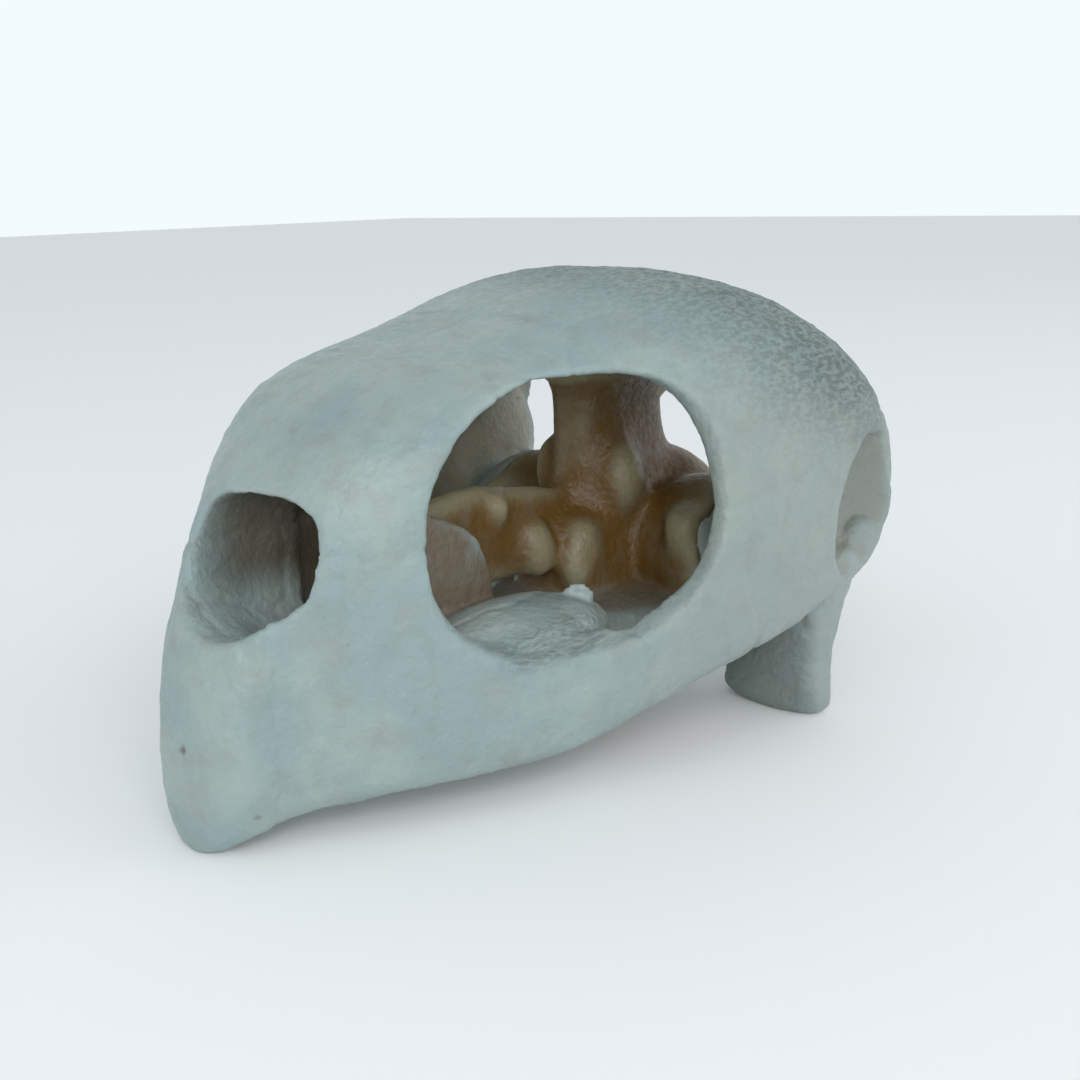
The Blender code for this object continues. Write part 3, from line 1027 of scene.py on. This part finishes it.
    def build(self, nodes: dict[str, bpy.types.Object], around: Surroundings) -> None:
        """Makes the whole piece.

        Args:
            nodes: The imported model's nodes.
            around: All the bones.
        """
        bench = self.gather(nodes)
        self.shape(bench)
        self.carve(bench, around)
        bench.thin_out(self.triangles)
        self.measure(bench, around)
        bench.select()
        bpy.ops.object.shade_smooth()
        bench.obj.data.materials.clear()
        bench.obj.data.materials.append(self.finish.make())
        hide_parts(*self.bones)
        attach(bench.obj, "root")
        LOG.info("%s: %d triangles", self.name, len(bench.obj.data.polygons))


def both(*bones: str) -> tuple[str, ...]:
    """Gives the left and right bones' names."""
    return tuple(f"{side}_{bone}" for bone in bones for side in ("left", "right"))


@dataclass
class Face(BonePiece):
    """The face with its palate, the roof, the temples and the jaw joints."""

    name: str = "face_and_temples"
    bones: tuple[str, ...] = ("premaxilla", "vomer") + both(
        "maxilla", "prefrontal", "frontal", "parietal", "postorbital", "jugal", "quadratojugal",
        "squamosal", "quadrate", "palatine",
    )
    finish: BoneFinish = BoneFinish("dry_bone")
    slot: str = "bone"
    additions: list[Lump] = field(
        default_factory=lambda: [
            # the plates that floor the eye sockets
            *Lump((0.142, 0.365, 0.176), (0.090, 0.160, 0.048)).pair(),
            # the small lumps inside the ears
            *Lump((0.340, 0.893, 0.228), (0.023, 0.044, 0.032)).pair(),
            *Lump((0.342, 0.840, 0.202), (0.021, 0.040, 0.026)).pair(),
            *Lump((0.340, 0.790, 0.184), (0.017, 0.032, 0.020)).pair(),
            # the flake of dried tissue in the left eye socket
            Lump((0.162, 0.475, 0.212), (0.022, 0.005, 0.017), (0.0, 25.0, 40.0)),
        ]
    )
    reliefs: list[Relief] = field(
        default_factory=lambda: [
            Relief(Pattern.SWELLS, 11.0 * MM, 0.55 * MM),
            Relief(Pattern.SWELLS, 3.4 * MM, 0.30 * MM),
            Relief(Pattern.SWELLS, 1.8 * MM, 0.24 * MM),
            Relief(Pattern.WORMY, 1.25 * MM, 0.18 * MM, "weathered", (1.0, 1.6, 1.0)),
        ]
    )
    marks: list[Mark] = field(
        default_factory=lambda: [
            # two pits in the beak
            Mark((0.006, -0.038, 0.131), 0.9, 0.35, 0.8),
            Mark((0.072, 0.007, 0.053), 0.7, 0.25, 0.6),
            # a crack in the roof
            Mark((0.098, 0.745, 0.556), 0.7, 0.30, 0.7),
            Mark((0.088, 0.772, 0.552), 0.6, 0.25, 0.6),
            Mark((0.078, 0.800, 0.549), 0.6, 0.25, 0.6),
            Mark((0.066, 0.832, 0.546), 0.7, 0.30, 0.7),
        ]
    )

    def amber_share(self, at: Survey) -> np.ndarray:
        """Tells how amber the bone is: the roof's underside is, where it meets the braincase."""
        near = fall(at.aside, 0.09, 0.16) * rise(at.behind, 0.50, 0.60) * rise(at.up, 0.40, 0.46)
        return near * rise(at.enclosed, 0.35, 0.55)

    def wall_share(self, at: Survey) -> np.ndarray:
        """Tells how pinkish brown the bone is: the walls between the nose and the eyes are.

        Args:
            at: What is known of each vertex.

        Returns:
            One share from 0 to 1 for each vertex.
        """
        across = fall(np.abs(at.aside - 0.062), 0.018, 0.032)
        along = band(at.behind, (0.17, 0.22), (0.45, 0.48))
        upwards = band(at.up, (0.16, 0.19), (0.34, 0.38))
        return across * along * upwards * rise(at.enclosed, 0.2, 0.4)


@dataclass
class Braincase(BonePiece):
    """The braincase with its ear capsules, condyle and rear crest, and the pterygoids under it."""

    name: str = "braincase_and_crest"
    bones: tuple[str, ...] = ("braincase",) + both("pterygoid")
    finish: BoneFinish = BoneFinish("amber_bone", roughness=0.40)
    slot: str = "amber_bone"
    fill: float = 1.1 * MM
    melt_rounds: int = 42
    melt_back: float = 0.60 * MM
    triangles: int = 190000
    inner_share: float = 0.0
    additions: list[Lump] = field(
        default_factory=lambda: [
            # the knob on the plate between the eyes
            Lump((0.016, 0.482, 0.300), (0.017, 0.018, 0.026), (0.0, 20.0, 0.0)),
            # the two lobes behind it
            Lump((0.020, 0.560, 0.232), (0.022, 0.030, 0.044), (15.0, 0.0, 0.0)),
            Lump((0.052, 0.608, 0.195), (0.018, 0.020, 0.028)),
            # the braincase's ceiling
            Lump((0.0, 0.745, 0.478), (0.070, 0.120, 0.052)),
        ]
    )
    reliefs: list[Relief] = field(
        default_factory=lambda: [
            Relief(Pattern.SWELLS, 9.0 * MM, 0.60 * MM),
            Relief(Pattern.SWELLS, 3.0 * MM, 0.12 * MM),
        ]
    )

    def amber_share(self, at: Survey) -> np.ndarray:
        """Tells how amber the bone is: the underside, the rear and the crest have dried pale."""
        return (1.0 - 0.85 * rise(at.behind, 0.93, 1.03)) * rise(at.up, 0.145, 0.175)

    def wall_share(self, at: Survey) -> np.ndarray:
        """Tells how pinkish brown the bone is: the floor of the temple space is."""
        return 0.8 * rise(at.enclosed, 0.30, 0.50) * band(at.up, (0.135, 0.145), (0.17, 0.20))


@dataclass(frozen=True)
class Lamp:
    """One soft square lamp that faces the skull, with angles in degrees and power in watts."""

    name: str
    azimuth: float
    elevation: float
    size: float
    power: float
    distance: float = 0.9

    def hang(self) -> None:
        """Adds the lamp."""
        back = direction(self.azimuth, self.elevation)
        bpy.ops.object.light_add(type="AREA", location=back * self.distance)
        light = bpy.context.object
        light.name = self.name
        light.rotation_euler = back.to_track_quat("Z", "Y").to_euler()
        light.data.size = self.size
        light.data.energy = self.power


@dataclass
class Studio:
    """The floor, the soft lights and the camera."""

    target: Triple = (0.0, 0.45, 0.27)
    azimuth: float = 42.3
    elevation: float = 14.9
    roll: float = -1.4
    distance: float = 1.76
    focal_pixels: float = 1310.0
    axis_pixel: Span = (472.0, 536.0)
    frame_pixels: float = 1080.0
    sensor: float = 36.0
    nearest: float = 1.0 * MM
    floor_size: float = 6.0
    floor_grain: float = 2.0 * MM
    floor_colour: Colour = (0.95, 0.95, 0.95, 1.0)
    world_colour: Colour = (0.90, 0.96, 1.0, 1.0)
    horizon_strength: float = 1.0
    zenith_strength: float = 0.60
    fade_start: float = 0.15
    lamps: tuple[Lamp, ...] = (
        Lamp("key", azimuth=48.0, elevation=28.0, size=0.6, power=3.0),
        Lamp("rim", azimuth=130.0, elevation=30.0, size=0.8, power=0.8),
    )

    def floor(self) -> None:
        """Lays a plain pale floor."""
        bpy.ops.mesh.primitive_plane_add(size=self.floor_size)
        plane = bpy.context.object
        plane.name = "floor"
        nodes = Nodes("floor")
        nodes.put(nodes.shader.inputs["Base Color"], self.floor_colour)
        grain = nodes.noise(self.floor_grain)
        nodes.put(nodes.shader.inputs["Roughness"], nodes.ramp(grain, 0.3, 0.7, 0.75, 0.85))
        plane.data.materials.append(nodes.material)

    def axes(self) -> tuple[Vector, Vector, Vector]:
        """Works out how the camera is turned.

        Returns:
            Its right, up and backward directions.
        """
        az, roll = math.radians(self.azimuth), math.radians(self.roll)
        back = direction(self.azimuth, self.elevation)
        right = Vector((math.cos(az), math.sin(az), 0.0))
        up = back.cross(right)
        turned = math.cos(roll) * right + math.sin(roll) * up
        return turned, -math.sin(roll) * right + math.cos(roll) * up, back

    def camera(self) -> None:
        """Sets the camera at the photograph's viewing angle."""
        right, up, back = self.axes()
        bpy.ops.object.camera_add()
        camera = bpy.context.object
        place = Matrix((right, up, back)).transposed().to_4x4()
        place.translation = metres(*self.target) + back * self.distance * SKULL_LENGTH
        camera.matrix_world = place
        middle = self.frame_pixels / 2
        camera.data.sensor_width = self.sensor
        camera.data.lens = self.focal_pixels / self.frame_pixels * self.sensor
        camera.data.shift_x = (middle - self.axis_pixel[0]) / self.frame_pixels
        camera.data.shift_y = (self.axis_pixel[1] - middle) / self.frame_pixels
        camera.data.clip_start = self.nearest
        bpy.context.scene.camera = camera

    def surround(self) -> None:
        """Lights the room softly all round, a little less from above."""
        world = bpy.data.worlds.new("studio")
        world.use_nodes = True
        tree = world.node_tree
        sky = tree.nodes["Background"]
        sky.inputs["Color"].default_value = self.world_colour
        way = tree.nodes.new("ShaderNodeTexCoord").outputs["Generated"]
        parts = tree.nodes.new("ShaderNodeSeparateXYZ")
        tree.links.new(way, parts.inputs["Vector"])
        fade = tree.nodes.new("ShaderNodeMapRange")
        fade.interpolation_type = "SMOOTHSTEP"
        tree.links.new(parts.outputs["Z"], fade.inputs["Value"])
        fade.inputs["From Min"].default_value = self.fade_start
        fade.inputs["To Min"].default_value = self.horizon_strength
        fade.inputs["To Max"].default_value = self.zenith_strength
        tree.links.new(fade.outputs["Result"], sky.inputs["Strength"])
        bpy.context.scene.world = world

    def build(self) -> None:
        """Sets the whole studio up."""
        self.floor()
        self.camera()
        for lamp in self.lamps:
            lamp.hang()
        self.surround()
        bpy.context.scene.view_settings.view_transform = "Standard"
        LOG.info("studio set up")


def main() -> None:
    """Builds the skull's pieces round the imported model, and the studio."""
    logging.basicConfig(level=logging.INFO)
    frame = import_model()
    around = Surroundings(frame["nodes"])
    for piece in (Face(), Braincase()):
        piece.build(frame["nodes"], around)
    Studio().build()


if __name__ == "__main__":
    main()
